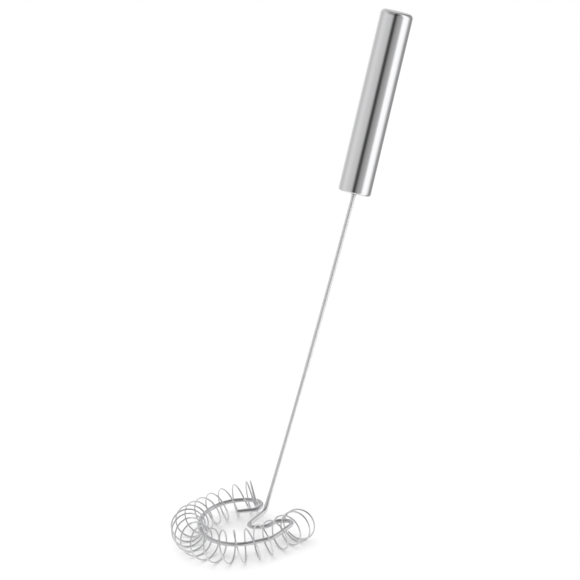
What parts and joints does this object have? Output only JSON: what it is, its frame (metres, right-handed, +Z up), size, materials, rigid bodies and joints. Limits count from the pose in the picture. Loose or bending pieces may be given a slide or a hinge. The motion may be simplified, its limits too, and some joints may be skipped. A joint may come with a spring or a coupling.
{
  "type": "spiral whisk",
  "caption": "Spiral whisk: a smooth round steel handle, a thin slanting wire shaft bent into a flat open ring, and a loose coil spring threaded round the ring.",
  "frame": {"origin": "middle of the whole whisk's footprint, on the surface that the coil spring lies on", "axes": "+Z up from that surface, +X towards the viewer's right in the picture, +Y away from the viewer; the ring lies level, and the shaft and handle lean towards +X and +Y"},
  "size_m": [0.1574, 0.1726, 0.2485],
  "materials": {
    "handle_steel": "finely brushed lengthwise, soft sheen",
    "plate_steel": "satin",
    "plug_plastic": "moulded, matte",
    "wire_steel": "drawn and polished",
    "spring_steel": "drawn and polished"
  },
  "bodies": {
    "frame": {"handle_shell": "handle_steel", "end_plate": "plate_steel", "core_plug": "plug_plastic", "frame_wire": "wire_steel"},
    "coil": {"coil_spring": "spring_steel"}
  },
  "joints": [
    {"name": "coil_creep", "type": "hinge", "parent": "frame", "child": "coil", "pos_m": [-0.04036, -0.05192, 0.00911], "axis": [0, 0, 1], "range_deg": [-1, 1]}
  ]
}
